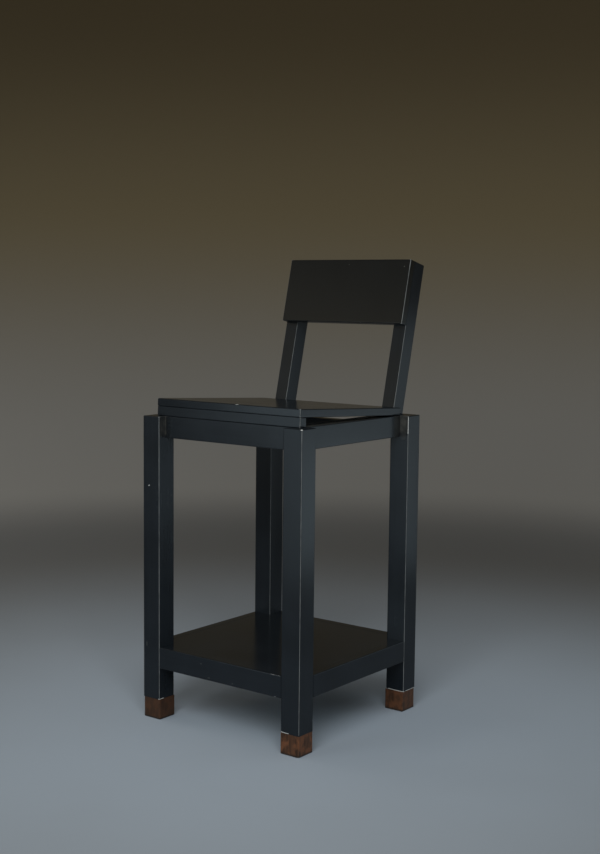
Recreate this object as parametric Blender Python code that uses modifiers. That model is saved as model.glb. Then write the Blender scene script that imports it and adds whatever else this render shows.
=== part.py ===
"""A wooden bar stool with a low back, built as a joiner would build it.

Four square legs on block feet are tied by two rings of rails. Stub tenons on the rails sit in mortises in
the legs. A shelf lies on cleats between the lower rails. The seat board slopes back from a batten on the
front rail to the side rails and the cleats along them. The upper back rail is lower than the others, so the
seat's back edge clears it. Two leaning uprights hook over that rail and carry the back board.

Units are metres, +Z is up and the front of the stool faces -Y. The origin is on the floor, under the middle
of the stool's bounding box.
"""

import math

import bmesh
import bpy
from mathutils import Matrix, Vector

# Base frame
BASE_WIDTH = 0.460
BASE_DEPTH = 0.460
FRAME_HEIGHT = 0.711
LEG_SIZE = 0.050
FOOT_HEIGHT = 0.048
FOOT_SET_IN = 0.0012
UPPER_RAIL_HEIGHT = 0.050
UPPER_BACK_RAIL_HEIGHT = 0.028
UPPER_RAIL_THICKNESS = 0.027
LOWER_RAIL_HEIGHT = 0.050
LOWER_RAIL_THICKNESS = 0.022
LOWER_RAIL_BOTTOM = 0.123

# Shelf between the lower rails
SHELF_THICKNESS = 0.018
SHELF_SET_DOWN = 0.001
SHELF_CLEAT_SIZE = 0.018

# Seat
SEAT_THICKNESS = 0.018
SEAT_RISE = 0.0222
BATTEN_DEPTH = 0.022
SEAT_CLEAT_WIDTH = 0.023
SEAT_CLEAT_HEIGHT = 0.023

# Back
LEAN = math.radians(13.3)
UPRIGHT_WIDTH = 0.035
UPRIGHT_DEPTH = 0.042
UPRIGHT_LENGTH = 0.372
UPRIGHT_SHOULDER = 0.017
BACK_BOARD_HEIGHT = 0.157
BACK_BOARD_THICKNESS = 0.019

# Joinery
TENON_LENGTH = 0.030
TENON_SET_DOWN = 0.004
TENON_SPACING = 0.004
UPPER_TENON_THICKNESS = 0.010
LOWER_TENON_THICKNESS = 0.008
MORTISE_SPARE_DEPTH = 0.001
FOOT_DOWEL_DIAMETER = 0.010
FOOT_DOWEL_LENGTH = 0.060
BOARD_DOWEL_DIAMETER = 0.008
BOARD_DOWEL_LENGTH = 0.030
BOARD_DOWEL_IN_BOARD = 0.012
BOARD_DOWEL_SPACING = 0.090
DOWEL_CHAMFER = 0.001

# Wood screws
SCREW_HEAD_DIAMETER = 0.008
SCREW_HEAD_RIM = 0.0004
SCREW_HEAD_HEIGHT = 0.0026
SCREW_SHANK_DIAMETER = 0.004
SCREW_POINT = 0.005
SEAT_SCREW_COUNTERBORE = 0.025
SEAT_SCREW_BITE = 0.010
SEAT_SCREW_FROM_END = 0.070
SEAT_CLEAT_BITE = 0.018
SEAT_CLEAT_SCREW_FROM_MIDDLE = 0.090
SEAT_SCREW_FROM_BACK = 0.040
SHELF_CLEAT_BITE = 0.014
SHELF_CLEAT_SCREW_FROM_END = 0.060
UPRIGHT_SCREW_COVER = 0.006
UPRIGHT_SCREW_SPACING = 0.016

# Fits and edges
GAP = 0.0003
EASED_EDGE = 0.002
FINE_EDGE = 0.001
EASE_STEPS = 3
ROUND_PROFILE = 0.5
ROUND_STEPS = 12
CUT_THROUGH = 0.002
MERGE = 0.00001
FLAT_WITHIN = math.radians(1)
SHARP_OVER = math.radians(30)
QUARTER_TURN = math.radians(90)

# Finishes: linear colours, then how rough they are
PAINT_COLOUR = (0.017, 0.019, 0.022)
PAINT_ROUGHNESS = 0.42
FOOT_COLOUR = (0.075, 0.035, 0.020)
FOOT_ROUGHNESS = 0.40
DOWEL_COLOUR = (0.55, 0.38, 0.22)
DOWEL_ROUGHNESS = 0.65
SCREW_COLOUR = (0.60, 0.60, 0.58)
SCREW_ROUGHNESS = 0.35

# Places that follow from the sizes above
HALF_WIDTH = BASE_WIDTH / 2
HALF_DEPTH = BASE_DEPTH / 2
LEG_INNER_X = HALF_WIDTH - LEG_SIZE
LEG_INNER_Y = HALF_DEPTH - LEG_SIZE
UPPER_INSET = LEG_SIZE - UPPER_RAIL_THICKNESS
UPPER_OUTER_X = HALF_WIDTH - UPPER_INSET
UPPER_OUTER_Y = HALF_DEPTH - UPPER_INSET
UPPER_RAIL_BOTTOM = FRAME_HEIGHT - UPPER_RAIL_HEIGHT
UPPER_BACK_RAIL_TOP = UPPER_RAIL_BOTTOM + UPPER_BACK_RAIL_HEIGHT
LOWER_RAIL_TOP = LOWER_RAIL_BOTTOM + LOWER_RAIL_HEIGHT
LOWER_INNER_X = HALF_WIDTH - LOWER_RAIL_THICKNESS
LOWER_INNER_Y = HALF_DEPTH - LOWER_RAIL_THICKNESS
SHELF_TOP = LOWER_RAIL_TOP - SHELF_SET_DOWN
SHELF_CLEAT_TOP = SHELF_TOP - SHELF_THICKNESS - GAP
SEAT_RUN = UPPER_OUTER_Y + LEG_INNER_Y
SEAT_SLOPE = math.atan2(SEAT_RISE - GAP, SEAT_RUN)
SEAT_DEPTH = math.hypot(SEAT_RISE - GAP, SEAT_RUN)
UPRIGHT_OUTER_X = LEG_INNER_X - GAP
UPRIGHT_CENTRE_X = UPRIGHT_OUTER_X - UPRIGHT_WIDTH / 2
UPRIGHT_FRONT_Y = UPPER_OUTER_Y - UPRIGHT_SHOULDER

SIDES = {"left": -1, "right": 1}
ENDS = {"front": -1, "back": 1}


def clear_scene():
    for obj in list(bpy.data.objects):
        bpy.data.objects.remove(obj, do_unlink=True)


def new_collection(name):
    collection = bpy.data.collections.new(name)
    bpy.context.scene.collection.children.link(collection)
    return collection


def new_finish(name, colour, roughness, metallic=0.0):
    material = bpy.data.materials.new(name)
    material.use_nodes = True
    shader = material.node_tree.nodes["Principled BSDF"]
    shader.inputs["Base Color"].default_value = (*colour, 1.0)
    shader.inputs["Roughness"].default_value = roughness
    shader.inputs["Metallic"].default_value = metallic
    material.diffuse_color = (*colour, 1.0)
    return material


def new_empty(name, location=(0, 0, 0), tilt=0.0, parent=None):
    """An empty that pieces are parented to, tilted about X."""
    empty = bpy.data.objects.new(name, None)
    empty.location = location
    empty.rotation_euler.x = tilt
    empty.parent = parent
    PARTS.objects.link(empty)
    return empty


def add_piece(name, mesh, finish, location=(0, 0, 0), rotation=(0, 0, 0), parent=None):
    piece = bpy.data.objects.new(name, mesh)
    piece.location = location
    piece.rotation_euler = rotation
    piece.parent = parent or STOOL
    mesh.materials.append(finish)
    PARTS.objects.link(piece)
    return piece


def add_cutter(name, mesh, location=(0, 0, 0), rotation=(0, 0, 0), parent=None):
    cutter = bpy.data.objects.new(name, mesh)
    cutter.location = location
    cutter.rotation_euler = rotation
    cutter.parent = parent or STOOL
    cutter.hide_render = True
    cutter.display_type = "WIRE"
    CUTTERS.objects.link(cutter)
    return cutter


def combine(piece, tool, operation):
    modifier = piece.modifiers.new(f"{operation.lower()} {tool.name}", "BOOLEAN")
    modifier.operation = operation
    modifier.solver = "EXACT"
    modifier.object = tool


def cut(tool, *pieces):
    for piece in pieces:
        combine(piece, tool, "DIFFERENCE")


def mesh_from(bm, name):
    mesh = bpy.data.meshes.new(name)
    bm.to_mesh(mesh)
    bm.free()
    return mesh


def ease(bm, edges, width):
    bmesh.ops.bevel(bm, geom=edges, offset=width, segments=EASE_STEPS, profile=ROUND_PROFILE, affect="EDGES")


def block(name, size, eased=0.0, only_along=None):
    """A box on its own centre. Its edges are rounded: all of them, or those that run along one axis."""
    bm = bmesh.new()
    bmesh.ops.create_cube(bm, size=1.0, matrix=Matrix.Diagonal((*size, 1.0)))
    edges = list(bm.edges)
    if only_along is not None:
        axis = "XYZ".index(only_along)
        edges = [edge for edge in edges if abs(edge.verts[0].co[axis] - edge.verts[1].co[axis]) > MERGE]
    if eased:
        ease(bm, edges, eased)
    return mesh_from(bm, name)


def prism(name, outline, width, eased=0.0):
    """An outline in the XY plane, given its width along Z about the plane, with rounded edges."""
    curve = bpy.data.curves.new(name, "CURVE")
    curve.dimensions = "2D"
    curve.fill_mode = "BOTH"
    curve.extrude = width / 2
    spline = curve.splines.new("POLY")
    spline.points.add(len(outline) - 1)
    spline.use_cyclic_u = True
    for point, (x, y) in zip(spline.points, outline):
        point.co = (x, y, 0.0, 1.0)
    guide = bpy.data.objects.new(name, curve)
    CUTTERS.objects.link(guide)
    graph = bpy.context.evaluated_depsgraph_get()
    mesh = bpy.data.meshes.new_from_object(guide.evaluated_get(graph))
    bpy.data.objects.remove(guide, do_unlink=True)
    bm = bmesh.new()
    bm.from_mesh(mesh)
    bmesh.ops.remove_doubles(bm, verts=bm.verts, dist=MERGE)
    bmesh.ops.dissolve_limit(bm, angle_limit=FLAT_WITHIN, verts=bm.verts, edges=bm.edges)
    bmesh.ops.recalc_face_normals(bm, faces=bm.faces)
    if eased:
        ease(bm, list(bm.edges), eased)
    # Flat faces with corners in line need well-shaped triangles, or some come out with no area.
    flats = [face for face in bm.faces if len(face.verts) > 4]
    bmesh.ops.triangulate(bm, faces=flats, ngon_method="BEAUTY")
    bm.to_mesh(mesh)
    bm.free()
    return mesh


# Turns a prism so that its outline lies in the YZ plane and its width runs along X.
ACROSS = (QUARTER_TURN, 0, QUARTER_TURN)


def turned(name, profile):
    """A solid turned about Z from (radius, height) points that run from the top of the axis to its bottom."""
    bm = bmesh.new()
    corners = [bm.verts.new((radius, 0.0, height)) for radius, height in profile]
    for start, end in zip(corners, corners[1:]):
        bm.edges.new((start, end))
    outline = bpy.data.objects.new(name, mesh_from(bm, name))
    CUTTERS.objects.link(outline)
    screw = outline.modifiers.new("turn", "SCREW")
    screw.axis = "Z"
    screw.steps = ROUND_STEPS
    screw.render_steps = ROUND_STEPS
    screw.use_merge_vertices = True
    screw.merge_threshold = MERGE
    graph = bpy.context.evaluated_depsgraph_get()
    mesh = bpy.data.meshes.new_from_object(outline.evaluated_get(graph))
    bpy.data.objects.remove(outline, do_unlink=True)
    mesh.shade_smooth()
    mesh.set_sharp_from_angle(angle=SHARP_OVER)
    return mesh


def dowel_profile(diameter, length, clearance=0.0):
    radius = diameter / 2 + clearance
    half = length / 2 + clearance
    return [
        (0, half),
        (radius - DOWEL_CHAMFER, half),
        (radius, half - DOWEL_CHAMFER),
        (radius, DOWEL_CHAMFER - half),
        (radius - DOWEL_CHAMFER, -half),
        (0, -half),
    ]


def screw_profile(length, clearance=0.0, behind=0.0):
    """A countersunk wood screw that points down, with the top of its head at zero."""
    head = SCREW_HEAD_DIAMETER / 2 + clearance
    shank = SCREW_SHANK_DIAMETER / 2 + clearance
    return [
        (0, behind),
        (head, behind),
        (head, -SCREW_HEAD_RIM),
        (shank, -SCREW_HEAD_HEIGHT),
        (shank, SCREW_POINT - length),
        (0, -length - clearance),
    ]


def add_dowel(name, diameter, length, hosts, location, rotation=(0, 0, 0), parent=None):
    solid = turned(name, dowel_profile(diameter, length))
    add_piece(name, solid, BARE_WOOD, location, rotation, parent)
    hole = turned(f"{name}_hole", dowel_profile(diameter, length, GAP))
    cut(add_cutter(f"{name}_hole", hole, location, rotation, parent), *hosts)


def add_screw(name, head, direction, length, hosts, counterbore=0.0):
    rotation = Vector(direction).to_track_quat("-Z", "Y").to_euler()
    add_piece(name, turned(name, screw_profile(length)), STEEL, head, rotation)
    hole = turned(f"{name}_hole", screw_profile(length, GAP, counterbore + CUT_THROUGH))
    cut(add_cutter(f"{name}_hole", hole, head, rotation), *hosts)


def add_legs():
    """Square posts that stand on the feet, with rounded edges."""
    length = FRAME_HEIGHT - FOOT_HEIGHT - GAP
    for end, y in ENDS.items():
        for side, x in SIDES.items():
            centre = (
                x * (HALF_WIDTH - LEG_SIZE / 2),
                y * (HALF_DEPTH - LEG_SIZE / 2),
                FRAME_HEIGHT - length / 2,
            )
            mesh = block(f"leg_{end}_{side}", (LEG_SIZE, LEG_SIZE, length), EASED_EDGE)
            LEGS[end, side] = add_piece(f"leg_{end}_{side}", mesh, PAINT, centre)


def add_feet():
    """Blocks glued under the legs on a dowel, a hair in from the legs' outer faces."""
    for (end, side), leg in LEGS.items():
        x = SIDES[side] * (HALF_WIDTH - LEG_SIZE / 2 - FOOT_SET_IN)
        y = ENDS[end] * (HALF_DEPTH - LEG_SIZE / 2 - FOOT_SET_IN)
        mesh = block(f"foot_{end}_{side}", (LEG_SIZE, LEG_SIZE, FOOT_HEIGHT), EASED_EDGE)
        foot = add_piece(f"foot_{end}_{side}", mesh, BROWN_WOOD, (x, y, FOOT_HEIGHT / 2))
        add_dowel(
            f"foot_dowel_{end}_{side}",
            FOOT_DOWEL_DIAMETER,
            FOOT_DOWEL_LENGTH,
            (foot, leg),
            (x, y, FOOT_HEIGHT),
        )


def add_rail(name, size, centre, turn, tenon_section, tenon_height, legs):
    """A rail with a stub tenon on each end, and the mortises for them in its two legs."""
    length = size[0]
    rail = add_piece(name, block(name, size, EASED_EDGE, "X"), PAINT, centre, (0, 0, turn))
    tenon_centre = (centre[0], centre[1], tenon_height)
    tenon = block(f"{name}_tenons", (length + 2 * TENON_LENGTH, *tenon_section))
    combine(rail, add_cutter(f"{name}_tenons", tenon, tenon_centre, (0, 0, turn)), "UNION")
    mortise_length = length + 2 * (TENON_LENGTH + MORTISE_SPARE_DEPTH)
    mortise = block(f"{name}_mortises", (mortise_length, *(side + 2 * GAP for side in tenon_section)))
    cut(add_cutter(f"{name}_mortises", mortise, tenon_centre, (0, 0, turn)), *legs)
    return rail


def add_rails(ring, thickness, height, back_height, bottom, inset, tenon_thickness, front_tenons):
    """A ring of four rails between the legs. Two tenons enter each leg, one above the other.

    The tenons of the front and back rails lie above the others if front_tenons is 1, and below if it is -1.
    """
    rails = {}
    middle = bottom + height / 2
    tenon_section = (tenon_thickness, (height - TENON_SPACING) / 2 - TENON_SET_DOWN)
    tenon_offset = front_tenons * (TENON_SPACING + tenon_section[1]) / 2
    for end, y in ENDS.items():
        rail_height = back_height if end == "back" else height
        rails[end] = add_rail(
            f"{ring}_rail_{end}",
            (2 * (LEG_INNER_X - GAP), thickness, rail_height),
            (0, y * (HALF_DEPTH - inset - thickness / 2), bottom + rail_height / 2),
            0.0,
            tenon_section,
            middle + tenon_offset,
            [LEGS[end, side] for side in SIDES],
        )
    for side, x in SIDES.items():
        rails[side] = add_rail(
            f"{ring}_rail_{side}",
            (2 * (LEG_INNER_Y - GAP), thickness, height),
            (x * (HALF_WIDTH - inset - thickness / 2), 0, middle),
            QUARTER_TURN,
            tenon_section,
            middle - tenon_offset,
            [LEGS[end, side] for end in ENDS],
        )
    return rails


def add_shelf():
    """A board let in between the lower rails, with its corners cut out for the legs."""
    outer_x = LOWER_INNER_X - GAP
    outer_y = LOWER_INNER_Y - GAP
    arm_x = LEG_INNER_X - GAP
    arm_y = LEG_INNER_Y - GAP
    corner = [(outer_x, arm_y), (arm_x, arm_y), (arm_x, outer_y)]
    outline = corner
    outline = outline + [(-x, y) for x, y in reversed(corner)]
    outline = outline + [(-x, -y) for x, y in corner]
    outline = outline + [(x, -y) for x, y in reversed(corner)]
    mesh = prism("shelf", outline, SHELF_THICKNESS)
    return add_piece("shelf", mesh, PAINT, (0, 0, SHELF_TOP - SHELF_THICKNESS / 2))


def add_shelf_cleats():
    """Square strips screwed to the lower rails, which carry the shelf."""
    z = SHELF_CLEAT_TOP - SHELF_CLEAT_SIZE / 2
    inside = SHELF_CLEAT_SIZE + GAP
    strips = {
        "front": (LEG_INNER_X, Vector((1, 0, 0)), Vector((0, -1, 0)), LOWER_INNER_Y),
        "back": (LEG_INNER_X, Vector((1, 0, 0)), Vector((0, 1, 0)), LOWER_INNER_Y),
        "left": (LEG_INNER_Y, Vector((0, 1, 0)), Vector((-1, 0, 0)), LOWER_INNER_X),
        "right": (LEG_INNER_Y, Vector((0, 1, 0)), Vector((1, 0, 0)), LOWER_INNER_X),
    }
    for place, (reach, along, outwards, rail_face) in strips.items():
        name = f"shelf_cleat_{place}"
        length = 2 * (reach - GAP)
        turn = math.atan2(along.y, along.x)
        centre = outwards * (rail_face - GAP - SHELF_CLEAT_SIZE / 2) + Vector((0, 0, z))
        mesh = block(name, (length, SHELF_CLEAT_SIZE, SHELF_CLEAT_SIZE))
        cleat = add_piece(name, mesh, PAINT, centre, (0, 0, turn))
        for number, way in enumerate((-1, 1), start=1):
            head = outwards * (rail_face - inside) + along * way * (reach - SHELF_CLEAT_SCREW_FROM_END)
            head.z = z
            add_screw(
                f"{name}_screw_{number}",
                head,
                outwards,
                inside + SHELF_CLEAT_BITE,
                (cleat, LOWER_RAILS[place]),
            )


def seat_underside(y):
    """Height of the seat board's underside at a distance from the middle of the base."""
    return FRAME_HEIGHT + SEAT_RISE - (y + UPPER_OUTER_Y) * math.tan(SEAT_SLOPE)


def add_seat():
    """The seat board, on a batten along the front rail and on the side rails at its back."""
    slope = new_empty("seat_slope", (0, -UPPER_OUTER_Y, FRAME_HEIGHT + SEAT_RISE), -SEAT_SLOPE, STOOL)
    mesh = block("seat", (2 * UPPER_OUTER_X, SEAT_DEPTH, SEAT_THICKNESS), EASED_EDGE)
    seat = add_piece("seat", mesh, PAINT, (0, SEAT_DEPTH / 2, SEAT_THICKNESS / 2), parent=slope)
    add_seat_batten(seat)
    add_seat_cleats(seat)


def add_seat_batten(seat):
    """A strip on the front rail that follows the seat's slope, with screws up through both into the seat."""
    front = -UPPER_OUTER_Y
    back = front + BATTEN_DEPTH
    outline = [
        (front, FRAME_HEIGHT + GAP),
        (back, FRAME_HEIGHT + GAP),
        (back, seat_underside(back) - GAP),
        (front, seat_underside(front) - GAP),
    ]
    name = "seat_batten_front"
    batten = add_piece(name, prism(name, outline, 2 * UPPER_OUTER_X, FINE_EDGE), PAINT, rotation=ACROSS)
    rail_middle = front + UPPER_RAIL_THICKNESS / 2
    head_height = UPPER_RAIL_BOTTOM + SEAT_SCREW_COUNTERBORE
    reach = LEG_INNER_X - SEAT_SCREW_FROM_END
    for number, x in enumerate((-reach, 0.0, reach), start=1):
        add_screw(
            f"seat_screw_front_{number}",
            (x, rail_middle, head_height),
            (0, 0, 1),
            seat_underside(rail_middle) + SEAT_SCREW_BITE - head_height,
            (UPPER_RAILS["front"], batten, seat),
            SEAT_SCREW_COUNTERBORE,
        )


def add_seat_cleats(seat):
    """Strips inside the side rails, level with their tops, each with a screw up into the back of the seat."""
    inner = UPPER_OUTER_X - UPPER_RAIL_THICKNESS - GAP - SEAT_CLEAT_WIDTH
    bottom = FRAME_HEIGHT - SEAT_CLEAT_HEIGHT
    length = 2 * (UPPER_OUTER_Y - UPPER_RAIL_THICKNESS - GAP)
    seat_screw_y = LEG_INNER_Y - SEAT_SCREW_FROM_BACK
    for side, x in SIDES.items():
        name = f"seat_cleat_{side}"
        middle = x * (inner + SEAT_CLEAT_WIDTH / 2)
        mesh = block(name, (SEAT_CLEAT_WIDTH, length, SEAT_CLEAT_HEIGHT))
        cleat = add_piece(name, mesh, PAINT, (middle, 0, bottom + SEAT_CLEAT_HEIGHT / 2))
        add_screw(
            f"seat_screw_back_{side}",
            (middle, seat_screw_y, bottom),
            (0, 0, 1),
            seat_underside(seat_screw_y) + SEAT_SCREW_BITE - bottom,
            (cleat, seat),
        )
        for number, way in enumerate((-1, 1), start=1):
            add_screw(
                f"{name}_screw_{number}",
                (x * inner, way * SEAT_CLEAT_SCREW_FROM_MIDDLE, bottom + SEAT_CLEAT_HEIGHT / 2),
                (x, 0, 0),
                SEAT_CLEAT_WIDTH + GAP + SEAT_CLEAT_BITE,
                (cleat, UPPER_RAILS[side]),
            )


def on_lean(depth, along):
    """A point of an upright in the YZ plane: behind its front face and up its length from the frame's top."""
    return (
        UPRIGHT_FRONT_Y + depth * math.cos(LEAN) + along * math.sin(LEAN),
        FRAME_HEIGHT - depth * math.sin(LEAN) + along * math.cos(LEAN),
    )


def upright_face(depth, height):
    """A point of an upright in the YZ plane: behind its front face and at a height above the floor."""
    along = (height - FRAME_HEIGHT + depth * math.sin(LEAN)) / math.cos(LEAN)
    return on_lean(depth, along)


def upright_outline():
    """Side view of an upright: its shoulder stands on the back rail and its tongue reaches down behind it."""
    behind_rail = UPPER_OUTER_Y + GAP
    shoulder_height = UPPER_BACK_RAIL_TOP + GAP
    return [
        upright_face(0, shoulder_height),
        (behind_rail, shoulder_height),
        (behind_rail, UPPER_RAIL_BOTTOM),
        upright_face(UPRIGHT_DEPTH, UPPER_RAIL_BOTTOM),
        on_lean(UPRIGHT_DEPTH, UPRIGHT_LENGTH),
        on_lean(0, UPRIGHT_LENGTH),
    ]


def add_back():
    """Two notched uprights, and the board on their fronts, level with their tops."""
    lean = new_empty("back_lean", (0, UPRIGHT_FRONT_Y, FRAME_HEIGHT), -LEAN, STOOL)
    size = (2 * UPRIGHT_OUTER_X, BACK_BOARD_THICKNESS, BACK_BOARD_HEIGHT)
    board_middle = UPRIGHT_LENGTH - BACK_BOARD_HEIGHT / 2
    board = add_piece(
        "back_board",
        block("back_board", size, EASED_EDGE),
        PAINT,
        (0, -GAP - BACK_BOARD_THICKNESS / 2, board_middle),
        parent=lean,
    )
    rail_inner = UPPER_OUTER_Y - UPPER_RAIL_THICKNESS
    screw_height = (UPPER_RAIL_BOTTOM + UPPER_BACK_RAIL_TOP) / 2
    screw_length = upright_face(UPRIGHT_DEPTH, screw_height)[0] - UPRIGHT_SCREW_COVER - rail_inner
    for side, x in SIDES.items():
        name = f"upright_{side}"
        mesh = prism(name, upright_outline(), UPRIGHT_WIDTH, FINE_EDGE)
        upright = add_piece(name, mesh, PAINT, (x * UPRIGHT_CENTRE_X, 0, 0), ACROSS)
        for number, way in enumerate((-1, 1), start=1):
            add_screw(
                f"upright_screw_{side}_{number}",
                (x * UPRIGHT_CENTRE_X + way * UPRIGHT_SCREW_SPACING / 2, rail_inner, screw_height),
                (0, 1, 0),
                screw_length,
                (UPPER_RAILS["back"], upright),
            )
            add_dowel(
                f"back_board_dowel_{side}_{number}",
                BOARD_DOWEL_DIAMETER,
                BOARD_DOWEL_LENGTH,
                (board, upright),
                (
                    x * UPRIGHT_CENTRE_X,
                    BOARD_DOWEL_LENGTH / 2 - BOARD_DOWEL_IN_BOARD,
                    board_middle + way * BOARD_DOWEL_SPACING / 2,
                ),
                (QUARTER_TURN, 0, 0),
                lean,
            )


def middle_of_footprint():
    """How far behind the middle of the base the middle of the whole stool lies."""
    rearmost = on_lean(UPRIGHT_DEPTH, UPRIGHT_LENGTH)[0]
    return (rearmost - HALF_DEPTH) / 2


clear_scene()
PARTS = new_collection("bar_stool")
CUTTERS = new_collection("bar_stool_cutters")

PAINT = new_finish("near_black_satin_paint", PAINT_COLOUR, PAINT_ROUGHNESS)
BROWN_WOOD = new_finish("brown_lacquered_wood", FOOT_COLOUR, FOOT_ROUGHNESS)
BARE_WOOD = new_finish("bare_beech", DOWEL_COLOUR, DOWEL_ROUGHNESS)
STEEL = new_finish("zinc_plated_steel", SCREW_COLOUR, SCREW_ROUGHNESS, metallic=1.0)

STOOL = new_empty("stool_base", (0, -middle_of_footprint(), 0))
LEGS = {}
add_legs()
add_feet()
UPPER_RAILS = add_rails(
    "upper",
    UPPER_RAIL_THICKNESS,
    UPPER_RAIL_HEIGHT,
    UPPER_BACK_RAIL_HEIGHT,
    UPPER_RAIL_BOTTOM,
    UPPER_INSET,
    UPPER_TENON_THICKNESS,
    -1,
)
LOWER_RAILS = add_rails(
    "lower",
    LOWER_RAIL_THICKNESS,
    LOWER_RAIL_HEIGHT,
    LOWER_RAIL_HEIGHT,
    LOWER_RAIL_BOTTOM,
    0.0,
    LOWER_TENON_THICKNESS,
    1,
)
add_shelf()
add_shelf_cleats()
add_seat()
add_back()
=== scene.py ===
# %% [markdown]
# # A bar stool in worn black paint
# The stool is plain joinery: four square legs on brown block feet, two rings of rails, a shelf, a sloping
# seat, and a back board on two leaning uprights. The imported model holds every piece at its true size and
# place. This lesson makes a closer mesh for each piece, with edges worn by use, and gives it its finish.

# %% Load the frame
import math

import bmesh
import bpy
import numpy as np
from mathutils import Matrix, Vector, geometry, noise


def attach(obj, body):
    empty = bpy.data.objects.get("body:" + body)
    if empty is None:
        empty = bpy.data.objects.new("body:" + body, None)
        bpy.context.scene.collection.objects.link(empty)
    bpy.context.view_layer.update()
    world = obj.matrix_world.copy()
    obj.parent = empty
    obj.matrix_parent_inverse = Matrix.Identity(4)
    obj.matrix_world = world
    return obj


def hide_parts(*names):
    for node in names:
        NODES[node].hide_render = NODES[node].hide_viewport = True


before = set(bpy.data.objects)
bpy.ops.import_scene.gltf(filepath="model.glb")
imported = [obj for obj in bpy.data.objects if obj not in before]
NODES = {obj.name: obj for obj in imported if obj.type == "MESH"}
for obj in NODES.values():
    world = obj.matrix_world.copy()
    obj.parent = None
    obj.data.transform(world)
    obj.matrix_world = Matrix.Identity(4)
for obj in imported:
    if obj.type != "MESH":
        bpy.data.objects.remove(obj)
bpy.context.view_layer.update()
print("pieces in the frame:", len(NODES))

# %% [markdown]
# ## The camera
# The photograph was taken from a little above seat height, off the stool's front right corner. A camera
# can be aimed by hand until the picture agrees. Here its place and its three angles come from fitting the
# stool's corners to the picture, so the matrix is built from those numbers. The picture is upright, so
# Blender's sensor width belongs to its height.

# %% Camera
PICTURE_HEIGHT = 854
FOCAL_PIXELS = 1324.0
SENSOR = 36.0
CAMERA_PLACE = Vector((1.8993, -2.4647, 1.0030))
YAW = math.radians(-37.386)
PITCH = math.radians(-5.931)
ROLL = 0.0102


def facing(yaw, pitch, roll):
    """The turn of a camera: its columns are the picture's right, its up, and the way back to the eye."""
    forward = Vector((math.sin(yaw) * math.cos(pitch), math.cos(yaw) * math.cos(pitch), math.sin(pitch)))
    right = forward.cross(Vector((0, 0, 1))).normalized()
    up = right.cross(forward)
    tilted_right = math.cos(roll) * right + math.sin(roll) * up
    tilted_up = math.cos(roll) * up - math.sin(roll) * right
    return Matrix((tilted_right, tilted_up, -forward)).transposed()


lens = bpy.data.cameras.new("camera")
lens.sensor_width = SENSOR
lens.lens = FOCAL_PIXELS * SENSOR / PICTURE_HEIGHT
camera = bpy.data.objects.new("camera", lens)
camera.matrix_world = Matrix.Translation(CAMERA_PLACE) @ facing(YAW, PITCH, ROLL).to_4x4()
bpy.context.scene.collection.objects.link(camera)
bpy.context.scene.camera = camera
bpy.context.scene.view_settings.view_transform = "Standard"
print("lens:", round(lens.lens, 2), "mm")

# %% [markdown]
# ## Sums with sockets
# A finish is a small sum at every point of a surface: so much grain, so much wear. Nodes can be placed
# and linked one by one, but then the sum is hard to read. So one small class holds an output socket and
# lets it be added and multiplied like a number. Each sign in a line of Python becomes one Math node.
# Colours and coordinates have helpers of their own, because a Math node would turn a colour grey.


# %% A socket that can be used in sums
class Wire:
    """An output socket of a material's nodes, or its bare tree, from which the first nodes are made."""

    def __init__(self, tree, socket=None):
        self.tree = tree
        self.socket = socket

    def node(self, kind, settings=None, sockets=None, output=0):
        """A node of any kind: its settings are set first, then its sockets are given values or links."""
        made = self.tree.nodes.new(f"ShaderNode{kind}")
        for name, value in (settings or {}).items():
            setattr(made, name, value)
        for key, value in (sockets or {}).items():
            self.plug(value, made.inputs[key])
        return Wire(self.tree, made.outputs[output])

    def plug(self, value, socket):
        """Gives a socket a link or a plain value."""
        if isinstance(value, Wire):
            self.tree.links.new(value.socket, socket)
        elif socket.type == "RGBA":
            socket.default_value = (*value[:3], 1.0)
        else:
            socket.default_value = value

    def maths(self, operation, *values):
        return self.node("Math", {"operation": operation}, dict(enumerate(values)))

    def __add__(self, other):
        return self.maths("ADD", self, other)

    def __sub__(self, other):
        return self.maths("SUBTRACT", self, other)

    def __rsub__(self, other):
        return self.maths("SUBTRACT", other, self)

    def __mul__(self, other):
        return self.maths("MULTIPLY", self, other)

    __radd__ = __add__
    __rmul__ = __mul__

    def least(self, other):
        return self.maths("MINIMUM", self, other)

    def most(self, other):
        return self.maths("MAXIMUM", self, other)

    def between(self, low, high):
        """0 below the low value, 1 above the high one, and a soft step from one to the other."""
        settings = {"interpolation_type": "SMOOTHSTEP"}
        return self.node("MapRange", settings, {"Value": self, "From Min": low, "From Max": high})


print("made a class for sums with sockets")


# %% Colours and noise
def mixed(share, first, second):
    """A colour between two others."""
    return share.node("Mix", {"data_type": "RGBA"}, {0: share, 6: first, 7: second}, 2)


def stretched(place, amounts):
    """Coordinates scaled by a number along each axis."""
    return place.node("VectorMath", {"operation": "MULTIPLY"}, {0: place, 1: amounts})


def cloud(place, lumps, detail=2.0):
    """Soft noise from 0 to 1, with so many lumps in a metre."""
    return place.node("TexNoise", {}, {"Vector": place, "Scale": lumps, "Detail": detail})


def new_material(name, **values):
    """A new material, its bare tree for sums, and its shader with the values that hold all over."""
    material = bpy.data.materials.new(name)
    material.use_nodes = True
    shader = material.node_tree.nodes["Principled BSDF"]
    for socket, value in values.items():
        shader.inputs[socket.replace("_", " ")].default_value = value
    return material, Wire(material.node_tree), shader


print("made helpers for colours, noise and new materials")
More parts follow.
